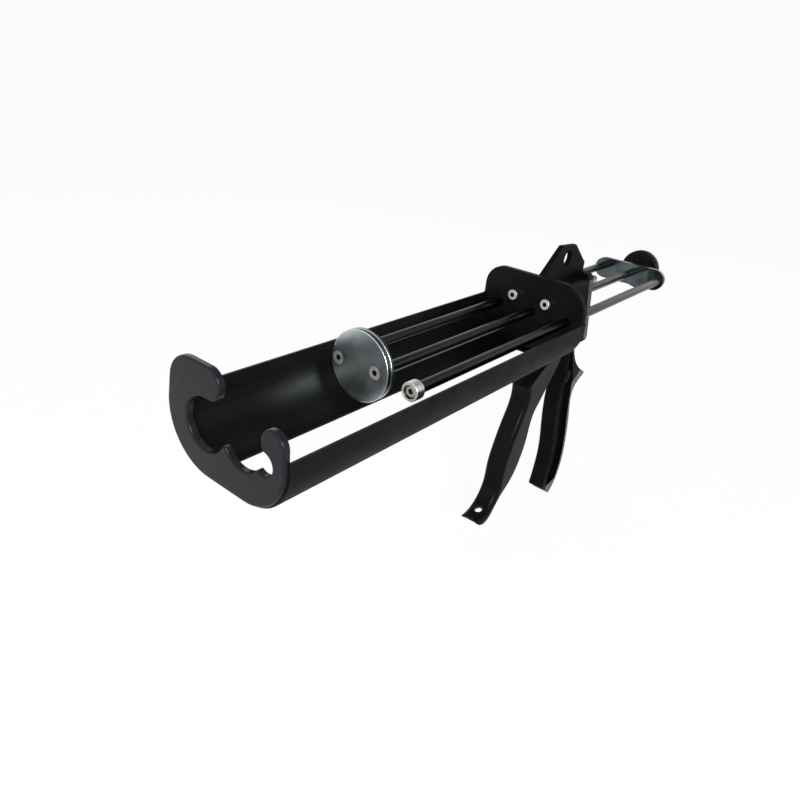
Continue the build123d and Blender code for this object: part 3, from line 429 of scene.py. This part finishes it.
def make_finishes():
    """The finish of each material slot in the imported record."""
    looks = {
        "black_paint": (
            powder_coat,
            dict(
                deep=grey(0.0026),
                pale=grey(0.0042),
                gloss=0.36,
                specular=0.08,
                grain=0.0005,
                scuff=0.35,
                matt=0.26,
            ),
        ),
        "charcoal_paint": (
            powder_coat,
            dict(
                deep=(0.0062, 0.0066, 0.0082),
                pale=(0.0095, 0.0099, 0.0123),
                gloss=0.28,
                specular=0.13,
                grain=0.0005,
            ),
        ),
        "cast_paint": (
            powder_coat,
            dict(
                deep=grey(0.0018),
                pale=grey(0.0034),
                gloss=0.50,
                specular=0.03,
                grain=0.0009,
                # Lighter shade of the painted highlight on the casting's side faces
                side_highlight=(0.17, 0.17, 0.16),
            ),
        ),
        "trigger_paint": (
            powder_coat,
            dict(deep=grey(0.0022), pale=grey(0.0038), gloss=0.32, specular=0.05, grain=0.0009),
        ),
        "rod_steel": (
            drawn_steel,
            dict(deep=(0.017, 0.017, 0.0125), pale=(0.043, 0.043, 0.034), gloss=0.30),
        ),
        "zinc_plate": (
            zinc_plating,
            dict(deep=(0.050, 0.064, 0.070), pale=(0.10, 0.126, 0.134), gloss=0.14, wave=0.0003),
        ),
        "plunger_zinc": (
            zinc_plating,
            dict(
                deep=(0.60, 0.69, 0.72),
                pale=(0.69, 0.78, 0.80),
                gloss=0.325,
                wave=0.00008,
                # Darkness of the painted shade on the disc's side faces
                side_shade=0.12,
            ),
        ),
        "bright_steel": (
            machined_steel,
            dict(deep=(0.56, 0.54, 0.51), pale=(0.78, 0.76, 0.73), gloss=0.34, ends=0.18),
        ),
        "dark_steel": (
            machined_steel,
            dict(deep=(0.012, 0.012, 0.013), pale=(0.026, 0.026, 0.027), gloss=0.36),
        ),
        "spring_steel": (
            drawn_steel,
            dict(deep=grey(0.16), pale=(0.26, 0.26, 0.265), gloss=0.28),
        ),
        "seal_rubber": (
            moulded,
            dict(deep=grey(0.008), pale=grey(0.015), gloss=0.62, specular=0.25, grain=0.0004),
        ),
        "knob_plastic": (
            moulded,
            dict(deep=grey(0.003), pale=(0.006, 0.006, 0.0055), gloss=0.42, specular=0.10, grain=0.0006),
        ),
    }
    return {slot: make(slot, **look) for slot, (make, look) in looks.items()}


def dress_nodes():
    """Gives every CAD node its slot's finish, or the paint over it, and smooth faces between crisp edges."""
    finishes = make_finishes()
    for row in frame["record"]["subparts"]:
        node = frame["nodes"][row["node"]]
        node.data.materials.clear()
        slot = PAINTED_OVER.get(row["node"], row["material_slot"])
        node.data.materials.append(finishes[slot])
        node.data.shade_smooth()
        node.data.set_sharp_from_angle(angle=CRISP_ANGLE)


def compress_springs():
    """Gives each spring that a joint deforms a mesh of its own."""
    for joint in frame["record"]["behaviour"]["joints"]:
        for row in joint.get("deforming_nodes", []):
            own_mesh(frame["nodes"][row["node"]])


def sweep_material():
    """Pale paper: what sees it directly or in a reflection gets a lifted white that keeps the shadow."""
    material = bpy.data.materials.new("studio_paper")
    material.use_nodes = True
    nodes = material.node_tree.nodes
    links = material.node_tree.links
    paper = nodes["Principled BSDF"]
    paper.inputs["Base Color"].default_value = SWEEP_COLOUR
    paper.inputs["Roughness"].default_value = 1.0
    paper.inputs["Specular IOR Level"].default_value = 0.0
    white = nodes.new("ShaderNodeEmission")
    ray = nodes.new("ShaderNodeLightPath")
    seen = ray.outputs["Is Camera Ray"]
    for kind in ("Is Glossy Ray", "Is Transmission Ray"):
        either = nodes.new("ShaderNodeMath")
        either.operation = "MAXIMUM"
        links.new(seen, either.inputs[0])
        links.new(ray.outputs[kind], either.inputs[1])
        seen = either.outputs["Value"]
    lift = nodes.new("ShaderNodeMath")
    lift.operation = "MULTIPLY"
    lift.inputs[1].default_value = SWEEP_LIFT
    links.new(seen, lift.inputs[0])
    blend = nodes.new("ShaderNodeMixShader")
    links.new(lift.outputs["Value"], blend.inputs["Fac"])
    links.new(paper.outputs["BSDF"], blend.inputs[1])
    links.new(white.outputs["Emission"], blend.inputs[2])
    links.new(blend.outputs["Shader"], nodes["Material Output"].inputs["Surface"])
    return material


def make_sweep(floor_height):
    """Round floor that curves up into a wall all the way round."""
    profile = [(SWEEP_FLAT_RADIUS, 0.0)]
    for step in range(1, SWEEP_ARC_STEPS + 1):
        turn = math.pi / 2 * step / SWEEP_ARC_STEPS
        out = SWEEP_FLAT_RADIUS + SWEEP_CURVE_RADIUS * math.sin(turn)
        profile.append((out, SWEEP_CURVE_RADIUS * (1 - math.cos(turn))))
    profile.append((profile[-1][0], profile[-1][1] + SWEEP_WALL))
    points = [(0.0, 0.0, floor_height)]
    for radius, height in profile:
        for step in range(SWEEP_SEGMENTS):
            turn = 2 * math.pi * step / SWEEP_SEGMENTS
            points.append((radius * math.cos(turn), radius * math.sin(turn), floor_height + height))
    faces = []
    for step in range(SWEEP_SEGMENTS):
        beside = (step + 1) % SWEEP_SEGMENTS
        faces.append((0, 1 + step, 1 + beside))
        for ring in range(len(profile) - 1):
            low = 1 + ring * SWEEP_SEGMENTS
            high = low + SWEEP_SEGMENTS
            faces.append((low + step, high + step, high + beside, low + beside))
    mesh = bpy.data.meshes.new("studio_sweep")
    mesh.from_pydata(points, [], faces)
    mesh.shade_smooth()
    mesh.materials.append(sweep_material())
    sweep = bpy.data.objects.new("studio_sweep", mesh)
    bpy.context.scene.collection.objects.link(sweep)


def make_world():
    """Dim even room light from above the sweep."""
    world = bpy.data.worlds.new("studio_room")
    world.use_nodes = True
    room = world.node_tree.nodes["Background"]
    room.inputs["Color"].default_value = WORLD_COLOUR
    room.inputs["Strength"].default_value = WORLD_STRENGTH
    bpy.context.scene.world = world


def make_lamps(middle):
    """Soft square lamps that face the middle of the part."""
    for name, direction, distance, width, power in LAMPS:
        light = bpy.data.lights.new(name, "AREA")
        light.size = width
        light.energy = power
        lamp = bpy.data.objects.new(name, light)
        away = Vector(direction).normalized()
        lamp.location = middle + away * distance
        lamp.rotation_mode = "QUATERNION"
        lamp.rotation_quaternion = (-away).to_track_quat("-Z", "Y")
        lamp.visible_camera = False
        bpy.context.scene.collection.objects.link(lamp)


def make_camera():
    """Camera at the photograph's place, rolled as the photograph is."""
    lens = bpy.data.cameras.new("photo_view")
    lens.lens = CAMERA_LENS
    lens.sensor_width = CAMERA_SENSOR
    lens.clip_start = CAMERA_CLIP
    camera = bpy.data.objects.new("photo_view", lens)
    camera.location = CAMERA_PLACE
    camera.rotation_mode = "QUATERNION"
    level = (CAMERA_AIM - CAMERA_PLACE).to_track_quat("-Z", "Y")
    camera.rotation_quaternion = level @ Quaternion((0, 0, 1), CAMERA_ROLL)
    bpy.context.scene.collection.objects.link(camera)
    bpy.context.scene.camera = camera


bpy.context.scene.view_settings.view_transform = "Standard"
dress_nodes()
compress_springs()
make_sweep(cad_box[0].z)
make_world()
make_lamps((cad_box[0] + cad_box[1]) / 2)
make_camera()
